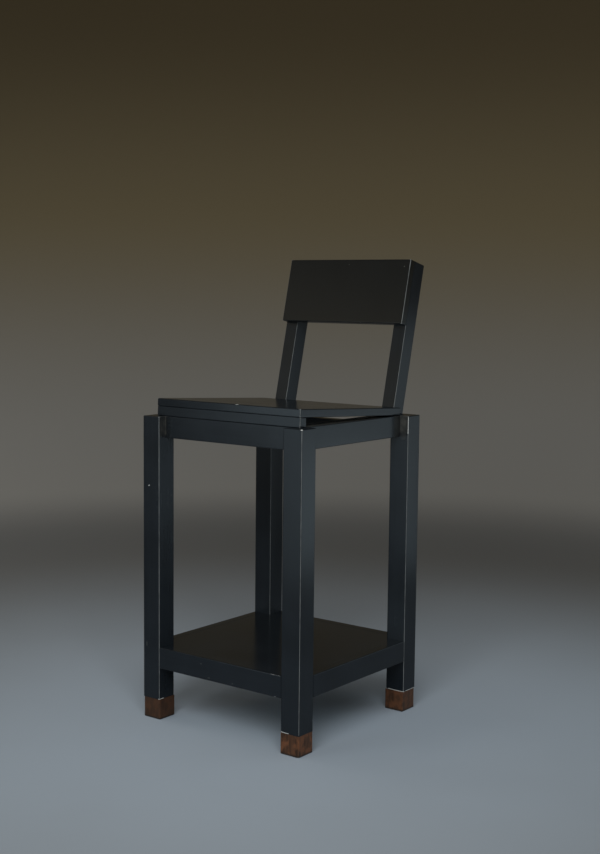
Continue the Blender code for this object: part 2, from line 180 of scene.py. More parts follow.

# %% [markdown]
# ## Floor and backdrop
# The stool stands in a plain room. Two planes would do for floor and wall, but their corner would show.
# So the floor runs up into the wall in one wide curve, an outline spun about the upright axis, which
# hides the corner from every side. The floor is a pale, cool grey, and further out it fades into the
# dark colour at the foot of the wall, which is painted shade. The wall is warmer, and darker higher up.

# %% Floor and backdrop
FLOOR_REACH = 2.0
COVE = 3.0
WALL_TOP = 5.5
COVE_STEPS = 24
ROUND = 128
MERGE = 0.0001
STUDIO_ROUGHNESS = 0.8
FLOOR_COLOUR = (0.38, 0.43, 0.49)
SCUFF_COLOUR = (0.325, 0.36, 0.40)
SCUFFS = 2.5
SCUFF_SHADES = (0.35, 0.75)
SCUFF_STRENGTH = 0.2
# the dark foot of the wall, which the far floor also fades into as painted shade
LOW_WALL_AND_FLOOR_SHADE = (0.180, 0.180, 0.177)
MIDDLE_WALL = (0.362, 0.350, 0.330)
UPPER_WALL = (0.270, 0.218, 0.128)
HIGH_WALL = (0.140, 0.107, 0.058)
# how far out the floor fades into painted shade
FLOOR_SHADE_RANGE = (0.2, 2.0)
WALL_BRIGHTENS = (0.0, 0.12)
WALL_WARMS = (0.2, 1.5)
WALL_DARKENS = (1.2, 2.7)


def dish_outline():
    """From the middle of the floor, out along it, round the curve and up the wall."""
    points = [(0.0, 0.0), (FLOOR_REACH, 0.0)]
    for step in range(1, COVE_STEPS + 1):
        turn = math.radians(90) * step / COVE_STEPS
        points.append((FLOOR_REACH + COVE * math.sin(turn), COVE * (1 - math.cos(turn))))
    return points + [(FLOOR_REACH + COVE, WALL_TOP)]


def studio_finish():
    """Floor and wall in one finish, told apart by how far out and how high a point is."""
    material, start, shader = new_material("studio", Roughness=STUDIO_ROUGHNESS)
    place = start.node("TexCoord", output="Object")
    height = start.node("SeparateXYZ", {}, {0: place}, "Z")
    flat_place = stretched(place, (1.0, 1.0, 0.0))
    away = start.node("VectorMath", {"operation": "LENGTH"}, {0: flat_place}, "Value")
    scuffs = cloud(place, SCUFFS, 5.0).between(*SCUFF_SHADES) * SCUFF_STRENGTH
    floor = mixed(scuffs, FLOOR_COLOUR, SCUFF_COLOUR)
    wall = mixed(height.between(*WALL_BRIGHTENS), LOW_WALL_AND_FLOOR_SHADE, MIDDLE_WALL)
    wall = mixed(height.between(*WALL_WARMS), wall, UPPER_WALL)
    wall = mixed(height.between(*WALL_DARKENS), wall, HIGH_WALL)
    # further out the floor is darkened to the low wall colour: painted shade
    start.plug(mixed(away.between(*FLOOR_SHADE_RANGE), floor, wall), shader.inputs["Base Color"])
    return material


outline = bmesh.new()
corners = [outline.verts.new((radius, 0.0, height)) for radius, height in dish_outline()]
edges = [outline.edges.new(pair) for pair in zip(corners, corners[1:])]
bmesh.ops.spin(
    outline, geom=corners + edges, cent=(0, 0, 0), axis=(0, 0, 1), angle=math.radians(360), steps=ROUND
)
bmesh.ops.remove_doubles(outline, verts=outline.verts, dist=MERGE)
dish_mesh = bpy.data.meshes.new("studio_dish")
outline.to_mesh(dish_mesh)
outline.free()
dish_mesh.shade_smooth()
dish_mesh.materials.append(studio_finish())
dish = bpy.data.objects.new("studio_dish", dish_mesh)
bpy.context.scene.collection.objects.link(dish)
print("floor and backdrop:", len(dish_mesh.polygons), "faces")

# %% [markdown]
# ## Light
# The light in the photograph is soft, cool daylight from the camera's side, with a dim warm room behind
# the stool. A sun lamp would draw hard shadows, so large area lamps are used. Satin paint mirrors what
# stands in front of it, so the low lamps stand where the faces of the legs would mirror a lit window. The
# large window is not mirrored, so that the seat stays dark from behind as well. Some lamps carry a grid,
# which narrows their beam, so that they draw no edge on the floor or the wall. The world adds a little
# even light.

# %% Light
WORLD_LIGHT = (0.10, 0.095, 0.088)
DAYLIGHT = (0.93, 0.98, 1.0)
SKY = (0.72, 0.90, 1.0)
WARM = (1.0, 0.96, 0.90)
LAMPLIGHT = (1.0, 0.90, 0.66)
OPEN = math.radians(180)
GRID = math.radians(150)


def softbox(name, place, aim, size, watts, colour, spread=OPEN, mirrored=True):
    """An area lamp at a place, turned towards another."""
    lamp = bpy.data.lights.new(name, "AREA")
    lamp.shape = "RECTANGLE"
    lamp.size, lamp.size_y = size
    lamp.energy = watts
    lamp.color = colour
    lamp.spread = spread
    holder = bpy.data.objects.new(name, lamp)
    holder.location = place
    holder.rotation_euler = (Vector(aim) - Vector(place)).to_track_quat("-Z", "Y").to_euler()
    holder.visible_camera = False
    holder.visible_glossy = mirrored
    bpy.context.scene.collection.objects.link(holder)


softbox("window", (1.74, -2.70, 2.59), (0, 0, 0.5), (2.8, 1.9), 72, DAYLIGHT, GRID, mirrored=False)
softbox("low_window", (1.35, 0.90, 0.28), (0.2, 0, 0.28), (1.2, 0.44), 1.5, SKY, GRID)
softbox("side_window", (1.35, 0.90, 0.70), (0.2, 0, 0.70), (1.6, 0.4), 1.0, SKY, GRID)
softbox("low_front", (-0.47, -1.3, 0.34), (-0.47, 0, 0.34), (0.5, 0.50), 0.62, SKY, GRID)
softbox("front_glow", (-1.30, -3.0, 0.88), (0, 0, 0.85), (1.6, 0.86), 8.5, SKY)
softbox("high_front", (-2.2, -3.1, 1.95), (0, 0, 0.9), (1.8, 1.0), 3.9, LAMPLIGHT)
softbox("ceiling", (0.2, -0.8, 4.2), (0, 0, 0.5), (3.0, 3.0), 14, WARM)
softbox("back_fill", (-3.4, -0.6, 2.4), (0, 0, 0.6), (2.0, 2.0), 14, WARM)
world = bpy.data.worlds.new("room")
world.use_nodes = True
world.node_tree.nodes["Background"].inputs["Color"].default_value = (*WORLD_LIGHT, 1.0)
bpy.context.scene.world = world
print("lamps:", [light.name for light in bpy.data.lights])

# %% [markdown]
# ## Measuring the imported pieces
# Sizes could be typed in again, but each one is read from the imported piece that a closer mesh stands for.
# A board has its own axes, with X along the grain, so that one finish fits every board. A screw or dowel
# is measured along its own line, the way in which its points are spread most.

# %% Measures
FLAT = 0.00002
NEAR_END = 0.0002
DECIMALS = 6
UPRIGHT_GRAIN = Matrix(((0, 1, 0), (0, 0, 1), (1, 0, 0)))
GRAIN_ACROSS = Matrix.Identity(3)
GRAIN_BACK = Matrix(((0, -1, 0), (1, 0, 0), (0, 0, 1)))
SCREWS = [node for node in NODES if "screw" in node]
DOWELS = [node for node in NODES if "dowel" in node]
WOODEN = [node for node in NODES if node not in SCREWS and node not in DOWELS]


def points_of(node, axes=GRAIN_ACROSS):
    """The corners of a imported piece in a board's own axes."""
    inverse = axes.transposed()
    return [inverse @ vertex.co for vertex in NODES[node].data.vertices]


def limits(points):
    """The least and the greatest corner of the box round some points."""
    low = Vector([min(point[i] for point in points) for i in range(3)])
    high = Vector([max(point[i] for point in points) for i in range(3)])
    return low, high


def span(points):
    """The middle of the box round some points, and its half sizes."""
    low, high = limits(points)
    return (low + high) / 2, (high - low) / 2


def lean_of(node):
    """The angle between a board's broad face and the upright or level plane."""
    normal = max(NODES[node].data.polygons, key=lambda face: face.area).normal
    small, large = sorted((abs(normal.y), abs(normal.z)))
    return math.atan2(small, large)


def line_of(node):
    """A screw or dowel: the middle of its wide end, the way it points, its length and its radius."""
    points = np.unique(np.round([vertex.co[:] for vertex in NODES[node].data.vertices], DECIMALS), axis=0)
    centre = points.mean(axis=0)
    way = np.linalg.eigh(np.cov((points - centre).T))[1][:, 2]
    along = (points - centre) @ way
    radii = np.linalg.norm(points - centre - np.outer(along, way), axis=1)
    first = radii[along < along.min() + NEAR_END].max()
    last = radii[along > along.max() - NEAR_END].max()
    if last > first:
        way = -way
        along = -along
    start = Vector(centre + way * along.min())
    return start, Vector(way), float(along.max() - along.min()), float(radii.max())


SEAT_SLOPE = lean_of("seat")
LEAN = lean_of("back_board")
print("seat slope:", round(math.degrees(SEAT_SLOPE), 2), "lean of the back:", round(math.degrees(LEAN), 2))
print("wooden pieces:", len(WOODEN), "screws:", len(SCREWS), "dowels:", len(DOWELS))

# %% [markdown]
# ## Joints
# A rail ends in a tenon that sits in a mortise in the leg, and screws and dowels sit in holes. None is
# seen, but without them the pieces would run into each other. A joiner cuts each joint with a tool, and
# so does this step: it makes a solid of the right shape, a little wider than what it holds, and lists the
# pieces to cut.

# %% Joint tools
JOINTS = {node: [] for node in WOODEN}
TOOLS = []


def tube(rings):
    """A closed solid through rings of points, which all have the same number of points."""
    bm = bmesh.new()
    rows = [[bm.verts.new(point) for point in ring] for ring in rings]
    for first, second in zip(rows, rows[1:]):
        for i, start in enumerate(first):
            bm.faces.new((start, first[i - 1], second[i - 1], second[i]))
    bm.faces.new(rows[0])
    bm.faces.new(rows[-1])
    bmesh.ops.recalc_face_normals(bm, faces=bm.faces)
    return bm


def around(x, radius, angle):
    return Vector((x, radius * math.cos(angle), radius * math.sin(angle)))


def circle(x, radius, angles):
    return [around(x, radius, angle) for angle in angles]


def evenly(count):
    return [math.tau * i / count for i in range(count)]


def block(low, high):
    """A box between two corners, as a tool or as the raw stock of a board."""
    bm = bmesh.new()
    shape = Matrix.Translation((low + high) / 2) @ Matrix.Diagonal((*(high - low), 1.0))
    bmesh.ops.create_cube(bm, size=1.0, matrix=shape)
    return bm


def standing(start, way):
    """The matrix that puts a thing made along +X on a line."""
    turn = Vector((1, 0, 0)).rotation_difference(way)
    return Matrix.Translation(start) @ turn.to_matrix().to_4x4()


def joint_tool(name, bm, matrix, operation, nodes):
    """Keeps a tool, and notes it for those of some pieces that it reaches."""
    mesh = bpy.data.meshes.new(name)
    bm.to_mesh(mesh)
    bm.free()
    mesh.transform(matrix)
    tool = bpy.data.objects.new(name, mesh)
    bpy.context.scene.collection.objects.link(tool)
    TOOLS.append(tool)
    low, high = limits([vertex.co for vertex in mesh.vertices])
    for node in nodes:
        node_low, node_high = limits(points_of(node))
        if all(low[i] < node_high[i] and node_low[i] < high[i] for i in range(3)):
            JOINTS[node].append((operation, tool))


print("ready to cut joints in", len(JOINTS), "pieces")

# %% Mortises and bores
GAP = 0.0003
CLEARANCE = Vector((GAP, GAP, GAP))
SPARE = 0.002
BORE_ROUND = 32
SCREW_SHANK = 0.002
SCREW_RIM = 0.0004
SCREW_HEAD = 0.0026
SCREW_POINT = 0.005
COUNTERBORE = 0.027
TINY = 0.00005
PLACES = {"front": GRAIN_ACROSS, "back": GRAIN_ACROSS, "left": GRAIN_BACK, "right": GRAIN_BACK}
CORNERS = [f"{end}_{side}" for end in ("front", "back") for side in ("left", "right")]
LEGS = [f"leg_{corner}" for corner in CORNERS]


def tenon_box(node, axes):
    """The box of both tenons of a rail, from end to end."""
    points = points_of(node, axes)
    middle, half = span(points)
    return limits([point for point in points if half.x - abs(point.x - middle.x) < FLAT])


for place, axes in PLACES.items():
    for ring in ("upper", "lower"):
        rail = f"{ring}_rail_{place}"
        low, high = tenon_box(rail, axes)
        mortises = block(low - CLEARANCE, high + CLEARANCE)
        joint_tool(f"{rail}_tenons", block(low, high), axes.to_4x4(), "UNION", [rail])
        joint_tool(f"{rail}_mortises", mortises, axes.to_4x4(), "DIFFERENCE", LEGS)
angles = evenly(BORE_ROUND)
for node in SCREWS + DOWELS:
    start, way, length, radius = line_of(node)
    wide = radius + GAP
    bore = [(-GAP, wide), (length + GAP, wide)]
    if node in SCREWS:
        shank = SCREW_SHANK + GAP
        behind = COUNTERBORE if "seat_screw_front" in node else SPARE
        bore = [(-behind, wide), (SCREW_RIM, wide), (SCREW_HEAD, shank)]
        bore += [(length - SCREW_POINT, shank), (length + GAP, TINY)]
    rings = [circle(x, size, angles) for x, size in bore]
    joint_tool(f"{node}_bore", tube(rings), standing(start, way), "DIFFERENCE", WOODEN)
print("joint tools:", len(TOOLS), "cuts and tenons:", sum(len(cuts) for cuts in JOINTS.values()))

# %% [markdown]
# ## Cut and rounded boards
# Nearly every piece of the stool is a board with eased edges. A cube with a bevel would do, but then each
# edge is the same all along, which no old edge is. So each board is cut across every centimetre or so,
# which gives the wear points to work on, and then its edges are rounded. Those that butt against a
# neighbour are kept tight.

# %% Cutting and rounding
SHARP = math.radians(30)
STATION = 0.014
CLOSEST = 0.0002
ROUND_STEPS = 4
TIGHT = 0.0005
EDGE_ROOM = 3.0


def slice_across(bm, axis, places):
    """Cuts a mesh across one axis at some places, leaving out any that lie too close together."""
    direction = Vector([float(i == axis) for i in range(3)])
    last = -math.inf
    for place in sorted(places):
        if place - last > CLOSEST:
            everything = bm.verts[:] + bm.edges[:] + bm.faces[:]
            bmesh.ops.bisect_plane(bm, geom=everything, plane_co=direction * place, plane_no=direction)
            last = place


def stations(low, high):
    """Evenly spaced places from one end of a stretch to the other."""
    count = max(1, round((high - low) / STATION))
    return [low + (high - low) * i / count for i in range(count + 1)]


def at_faces(*choices):
    """A test of whether a point lies at some faces: 1 or -1 for the two across an axis, 0 for anywhere."""
    def test(point, half, depth=FLAT):
        def near(ways):
            return all(not way or way * point[i] > half[i] - depth for i, way in enumerate(ways))

        return any(near(ways) for ways in choices)

    return test


def round_edges(bm, half, width, tight):
    """Rounds the sharp edges, and the tight ones less. The faces of the full roundings are marked."""
    mark = bm.faces.layers.int.new("rounding")
    for for_tight, size in ((False, width), (True, TIGHT)):
        sharp = [edge for edge in bm.edges if edge.is_convex and edge.calc_face_angle() > SHARP]
        chosen = [edge for edge in sharp if all(tight(end.co, half) for end in edge.verts) == for_tight]
        if chosen:
            made = bmesh.ops.bevel(
                bm, geom=chosen, offset=size, segments=ROUND_STEPS, profile=0.5, affect="EDGES"
            )
            for face in made["faces"]:
                face[mark] = 0 if for_tight else 1


print("boards are cut every", STATION, "m, and an edge is rounded in", ROUND_STEPS, "steps")

# %% [markdown]
# ## Wear
# Hands and feet wear an edge unevenly. Bump in the finish could fake that, but the outline would stay
# straight. So the mesh itself is worn: the middle of each rounding is pushed in a little, more in some
# places than in others, and deeper at nicks. Each point also notes how worn it is, in `ridge`, which on
# the edges that face the camera is also a painted highlight; how chipped, where chips at the bottom of the
# legs also stand in for painted glints; and how dusty, in `dusty`, for the finishes to read. The wear of a
# piece is a list of strengths and places, of which the last that fits a point counts, and on some pieces
# it also lays on the painted highlight.

# %% Wear
WEAR_DEPTH = 0.0003
WEAR_LUMPS = 45.0
WEAR_REACH = 2.0
SIDE_WEAR = 0.6
SEED_STEP = (7.31, 3.77, 5.13)
RIM_STEPS = (0.0, 0.4, 1.0)


def stroke_places(strokes, axis, half, clear):
    """Where a board is cut across one axis so that its strokes have points to mark."""
    places = []
    for start, end, radius, _ in strokes:
        low = min(start[axis], end[axis]) - radius
        high = max(start[axis], end[axis]) + radius
        room = half[axis] - max(clear, radius)
        for share in RIM_STEPS:
            pair = (low + share * radius, high - share * radius)
            places += [min(room, max(-room, place)) for place in pair]
    return places


def inside(point, stroke):
    """How deep a point lies in a stroke: 1 on its middle line, 0 at its rim or outside."""
    start, end, radius, _ = stroke
    if (end - start).length > FLAT:
        share = geometry.intersect_point_line(point, start, end)[1]
        start = start.lerp(end, min(1.0, max(0.0, share)))
    return max(0.0, 1 - ((point - start).length / radius) ** 2)


def wear_edges(bm, half, width, wear, seed, nicks_and_glints=(), dusty=()):
    """Pushes the roundings in, and deeper at nicks and painted glints. Returns what each point notes."""
    mark = bm.faces.layers.int["rounding"]
    bm.normal_update()
    inner = {vertex for vertex in bm.verts if all(face[mark] for face in vertex.link_faces)}
    shift = Vector([seed * step for step in SEED_STEP])
    notes = {"ridge": [], "chips_and_glints": [], "dusty": []}
    moves = []
    for vertex in bm.verts:
        ridge = 0.0
        depth = 0.0
        if vertex in inner:
            crest = all(edge.other_vert(vertex) in inner for edge in vertex.link_edges)
            for strength, worn_here in wear:
                if worn_here(vertex.co, half, WEAR_REACH * width):
                    ridge = strength * (1.0 if crest else SIDE_WEAR)
            depth = WEAR_DEPTH * (0.5 + 0.5 * noise.noise(vertex.co * WEAR_LUMPS + shift)) ** 2
        chip_and_glint = 0.0
        dust = 0.0
        for nick_and_glint in nicks_and_glints:
            here = inside(vertex.co, nick_and_glint)
            chip_and_glint = max(chip_and_glint, here)
            depth = max(depth, nick_and_glint[3] * here)
        for patch in dusty:
            dust = max(dust, patch[3] * inside(vertex.co, patch))
        for name, value in zip(notes, (ridge, chip_and_glint, dust)):
            notes[name].append(value)
        moves.append(vertex.normal * depth)
    for vertex, move in zip(bm.verts, moves):
        vertex.co -= move
    return notes


print("edges are worn up to", WEAR_DEPTH, "m deep")

# %% [markdown]
# ## From mesh to piece
# The last steps are the same for every piece. Its joints are cut with the tools made above, its traits
# are noted for the finish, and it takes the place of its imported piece. The cuts could stay as modifiers,
# but then the tools would have to stay too, so the result is read back as a plain mesh. Weighted normals
# keep the flat faces flat to the eye.


# %% Piece maker
def settle(node, bm, matrix, marks, slot, material, **traits):
    """Cuts a piece's joints, notes its traits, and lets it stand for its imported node."""
    mesh = bpy.data.meshes.new(f"{node}_rough")
    bm.to_mesh(mesh)
    bm.free()
    for name, values in marks.items():
        mesh.attributes.new(name, "FLOAT", "POINT").data.foreach_set("value", values)
    piece = bpy.data.objects.new(f"{node}_worn", mesh)
    piece.matrix_world = matrix
    bpy.context.scene.collection.objects.link(piece)
    for operation, tool in JOINTS.get(node, []):
        cut = piece.modifiers.new(tool.name, "BOOLEAN")
        cut.operation = operation
        cut.solver = "EXACT"
        cut.object = tool
    depsgraph = bpy.context.evaluated_depsgraph_get()
    piece.data = bpy.data.meshes.new_from_object(piece.evaluated_get(depsgraph), depsgraph=depsgraph)
    piece.data.name = f"{node}_worn"
    bpy.data.meshes.remove(mesh)
    for name, value in traits.items():
        everywhere = [value] * len(piece.data.vertices)
        piece.data.attributes.new(name, "FLOAT", "POINT").data.foreach_set("value", everywhere)
    piece.modifiers.clear()
    piece.data.materials.clear()
    piece.data.materials.append(material)
    piece.data.shade_smooth()
    piece.data.set_sharp_from_angle(angle=SHARP)
    flats = piece.modifiers.new("flat faces stay flat", "WEIGHTED_NORMAL")
    flats.keep_sharp = True
    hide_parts(node)
    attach(piece, "root")


print("made a piece maker, with edges over", round(math.degrees(SHARP)), "degrees kept sharp")

# %% [markdown]
# ## The paint
# The paint is a near-black, slightly blue grey with a satin sheen. One plain colour would look like
# plastic. Up close the colour drifts a little, brush marks run along the grain, and the sheen comes and
# goes. Use has rubbed it thin along the edges, where it looks grey, a knock breaks it through to the pale
# ground under it, and on an aged piece it has yellowed. The same grey on the edges that face the camera
# is also a painted highlight, and the pale ground at the bottom of the legs also stands in for painted
# glints. All of this is noise in each piece's own axes, so that it follows the grain. The seat, the shelf
# and the low rails are smoother than the rest.

# %% What every finish uses
BATCH_STEP = (0.83, 0.37, 0.59)
RELIEF = 0.0005


def own_place(start):
    """Coordinates on a piece, moved by its batch number, so that no two pieces share one pattern."""
    place = start.node("TexCoord", output="Object")
    batch = start.node("Attribute", {"attribute_name": "batch"}, output="Vector")
    return start.node("VectorMath", {"operation": "MULTIPLY_ADD"}, {0: batch, 1: BATCH_STEP, 2: place})


def noted(start, name):
    """What the points of a piece note under a name."""
    return start.node("Attribute", {"attribute_name": name}, output="Fac")


def coat(start, shader, colour, roughness):
    """Gives the shader the colour and the roughness that change over the surface."""
    start.plug(colour, shader.inputs["Base Color"])
    start.plug(roughness, shader.inputs["Roughness"])


def relief(start, shader, height, strength, distance=RELIEF):
    """Gives the shader a fine relief, from a height that changes over the surface."""
    sockets = {"Strength": strength, "Distance": distance, "Height": height}
    start.plug(start.node("Bump", {}, sockets), shader.inputs["Normal"])


print("made helpers for place, wear, coat and relief")

# %% Paint
PAINT_SPECULAR = 0.25
PAINT_DARK = (0.0070, 0.0092, 0.0120)
PAINT_LIGHT = (0.0100, 0.0130, 0.0168)
YELLOWED_PAINT = (0.0106, 0.0102, 0.0090)
# grey of paint rubbed thin, and a painted highlight on the edges that face the camera
THIN_PAINT_AND_HIGHLIGHT = (0.21, 0.215, 0.21)
# the pale ground under the paint at chips; at the bottom of the legs it is also a painted glint
PALE_GROUND_AND_GLINT = (0.66, 0.65, 0.62)
DUST = (0.085, 0.082, 0.072)
DRIFT = 9.0
BRUSH_MARKS = (5.0, 160.0, 160.0)
PEEL = 420.0
PATCHES = 60.0
BROAD_PATCHES = 7.0
CRUMBS = 600.0
SPECKS = 90.0
PAINT_SHADES = (0.35, 0.65)
RUBBED_AND_HIGHLIT = (0.25, 0.9)
BARE_AND_GLINT = (0.3, 0.5)


def paint_finish(name, dullness, texture):
    """Worn paint with painted highlights and glints on some edges, of some dullness, with brush marks of
    some strength.
    """
    material, start, shader = new_material(name, Specular_IOR_Level=PAINT_SPECULAR)
    place = own_place(start)
    drift = cloud(place, DRIFT, 4.0)
    brush = cloud(stretched(place, BRUSH_MARKS), 1.0, 3.0)
    peel = cloud(place, PEEL)
    patchy = cloud(place, PATCHES, 3.0) * 0.5 + cloud(place, BROAD_PATCHES) * 0.5
    crumbs = cloud(place, CRUMBS, 3.0)
    dust = noted(start, "dusty") * (cloud(place, SPECKS, 4.0) * 2.2 - 0.2)
    # edges rubbed thin, and on the edges that face the camera a painted highlight
    rubbed_and_highlit = (noted(start, "ridge") * (0.3 + patchy * 1.3)).between(*RUBBED_AND_HIGHLIT)
    # chips, and at the bottom of the legs painted glints, in the pale ground colour
    bare_and_glint = (noted(start, "chips_and_glints") + (crumbs - 0.5) * 0.6).between(*BARE_AND_GLINT)
    colour = mixed((drift * 0.7 + brush * 0.3).between(*PAINT_SHADES), PAINT_DARK, PAINT_LIGHT)
    colour = mixed(noted(start, "aged"), colour, YELLOWED_PAINT)
    colour = mixed(dust, colour, DUST)
    # pale grey on rubbed edges, which is also the painted highlight
    colour = mixed(rubbed_and_highlit, colour, THIN_PAINT_AND_HIGHLIGHT)
    colour = mixed(bare_and_glint, colour, PALE_GROUND_AND_GLINT)
    sheen = dullness + drift * 0.08 + brush * 0.03
    coat(start, shader, colour, sheen + rubbed_and_highlit * 0.2 + (bare_and_glint + dust) * 0.4)
    relief(start, shader, brush * 0.6 + peel * 0.4 - bare_and_glint * 0.8, texture)
    return material


PAINT = paint_finish("black_satin_paint", 0.20, 0.06)
SMOOTH_PAINT = paint_finish("black_paint_smooth", 0.14, 0.04)
print("paint:", len(PAINT.node_tree.nodes), "nodes, in two degrees of sheen")

# %% [markdown]
# ## The brown feet
# The block feet are reddish-brown hardwood under a thin lacquer. A wave texture would draw bold stripes,
# but the figure here is upright and quiet, so it is stretched noise, with a few blotches and fine dark
# pores. Corners are rubbed pale, and a pale chip at one foot's bottom corner is also a painted glint. The
# lowest few millimetres are darkened with painted contact shade where the foot meets the floor.

# %% Brown wood
BROWN_SPECULAR = 0.18
BROWN_DARK = (0.038, 0.019, 0.0105)
BROWN_MIDDLE = (0.084, 0.038, 0.020)
BROWN_RED = (0.175, 0.068, 0.031)
# pale rubbed wood, also a painted glint at one foot's bottom corner
BROWN_WORN_AND_GLINT = (0.30, 0.20, 0.14)
# painted contact shade at the bottom of a foot, and the heights over which it fades out
FOOT_CONTACT_SHADE = (0.016, 0.014, 0.012)
CONTACT_SHADE_RISES = (-0.0235, -0.0165)
BLOTCHES = 75.0
BLOTCH_MARKS = (0.6, 1.0, 1.0)
FIGURE_MARKS = (12.0, 170.0, 170.0)
PORE_MARKS = (60.0, 1400.0, 1400.0)
RUBS = 120.0
BLOTCH_SHADES = (0.42, 0.62)
FIGURE_SHADES = (0.3, 0.62)
PORE_SHADES = (0.56, 0.66)
PORE_EDGES = (0.55, 0.7)
BROWN_RUBBED = (0.35, 0.95)
BROWN_CHIPS_AND_GLINTS = (0.2, 0.6)
WOOD_TEXTURE = 0.15


def brown_finish():
    """Lacquered hardwood with an upright figure, and painted contact shade at its bottom."""
    material, start, shader = new_material("brown_hardwood", Specular_IOR_Level=BROWN_SPECULAR)
    place = own_place(start)
    blotch = cloud(stretched(place, BLOTCH_MARKS), BLOTCHES, 3.0)
    figure = cloud(stretched(place, FIGURE_MARKS), 1.0, 4.0)
    pores = cloud(stretched(place, PORE_MARKS), 1.0)
    up = start.node("SeparateXYZ", {}, {0: start.node("TexCoord", output="Object")}, "X")
    # painted contact shade, darkest at the bottom of the foot
    contact_shade = (1 - up.between(*CONTACT_SHADE_RISES)) * (0.5 + blotch * 0.8)
    patchy = 0.3 + cloud(place, RUBS, 3.0) * 1.2
    rubbed_and_highlit = (noted(start, "ridge") * patchy).between(*BROWN_RUBBED)
    # chips, and the painted glint at one foot's corner, show pale
    rubbed_and_highlit = rubbed_and_highlit.most(noted(start, "chips_and_glints").between(*BROWN_CHIPS_AND_GLINTS))
    colour = mixed(figure.between(*FIGURE_SHADES), BROWN_DARK, BROWN_MIDDLE)
    colour = mixed(blotch.between(*BLOTCH_SHADES) * 0.75, colour, BROWN_RED)
    colour = mixed(pores.between(*PORE_SHADES) * 0.5, colour, BROWN_DARK)
    colour = mixed(noted(start, "aged"), colour, BROWN_DARK)
    colour = mixed(rubbed_and_highlit * 0.9, colour, BROWN_WORN_AND_GLINT)
    # the foot's bottom is darkened with painted shade
    colour = mixed(contact_shade.least(0.9), colour, FOOT_CONTACT_SHADE)
    coat(start, shader, colour, 0.36 + blotch * 0.16 + rubbed_and_highlit * 0.15)
    relief(start, shader, figure * 0.5 - pores.between(*PORE_EDGES) * 0.6, WOOD_TEXTURE)
    return material


BROWN_WOOD = brown_finish()
print("brown wood:", len(BROWN_WOOD.node_tree.nodes), "nodes")

# %% [markdown]
# ## Bare beech and bright steel
# Dowels are turned from pale beech, with fine flecks along the grain. Screws are zinc-plated steel, a
# mottled grey metal. Both are hidden once the stool is put together, so plain colours might pass, but the
# library's part can be taken apart.

# %% Beech and steel
BEECH_SPECULAR = 0.3
BEECH_PALE = (0.60, 0.42, 0.25)
BEECH_FLECK = (0.42, 0.25, 0.13)
RING_MARKS = (8.0, 420.0, 420.0)
RING_SHADES = (0.35, 0.7)
FLECK_MARKS = (160.0, 1500.0, 1500.0)
FLECK_SHADES = (0.55, 0.7)
FINE_RELIEF = 0.0003
ZINC = (0.62, 0.62, 0.60)
DULL_ZINC = (0.42, 0.43, 0.44)
MOTTLES = 350.0
MOTTLE_SHADES = (0.35, 0.7)


def beech_finish():
    material, start, shader = new_material("bare_beech", Specular_IOR_Level=BEECH_SPECULAR)
    place = start.node("TexCoord", output="Object")
    rings = cloud(stretched(place, RING_MARKS), 1.0, 3.0)
    flecks = cloud(stretched(place, FLECK_MARKS), 1.0)
    share = rings.between(*RING_SHADES) * 0.5 + flecks.between(*FLECK_SHADES) * 0.4
    coat(start, shader, mixed(share, BEECH_PALE, BEECH_FLECK), 0.55 + rings * 0.2)
    relief(start, shader, rings + flecks, WOOD_TEXTURE, FINE_RELIEF)
    return material


def zinc_finish():
    material, start, shader = new_material("zinc_plated_steel", Metallic=1.0)
    place = start.node("TexCoord", output="Object")
    mottle = cloud(place, MOTTLES, 4.0)
    coat(start, shader, mixed(mottle.between(*MOTTLE_SHADES), ZINC, DULL_ZINC), 0.24 + mottle * 0.25)
    return material


BEECH = beech_finish()
STEEL = zinc_finish()
print("beech:", len(BEECH.node_tree.nodes), "nodes, steel:", len(STEEL.node_tree.nodes), "nodes")

# %% [markdown]
# ## Nicks, painted glints and dust
# The stool has been used, and it shows: small chips along the seat and rails, and pale lines where the
# paint has come away at the bottom of the legs. Those pale lines, and a pale chip at the bottom corner of
# one foot, are also painted glints where light catches those edges. They could be strewn by chance, but
# most can be seen in the photograph, so they are listed. Each is a short stroke on a board, given by its
# two ends: how many metres from the board's middle along the grain, and then across it as shares of the
# half width and half thickness, so that 1 and -1 are the board's faces. A radius and a depth follow. Dust,
# which has gathered where the upper rails meet the legs and lies in a few faint spots lower down, is listed
# in the same way, with an amount in place of the depth.

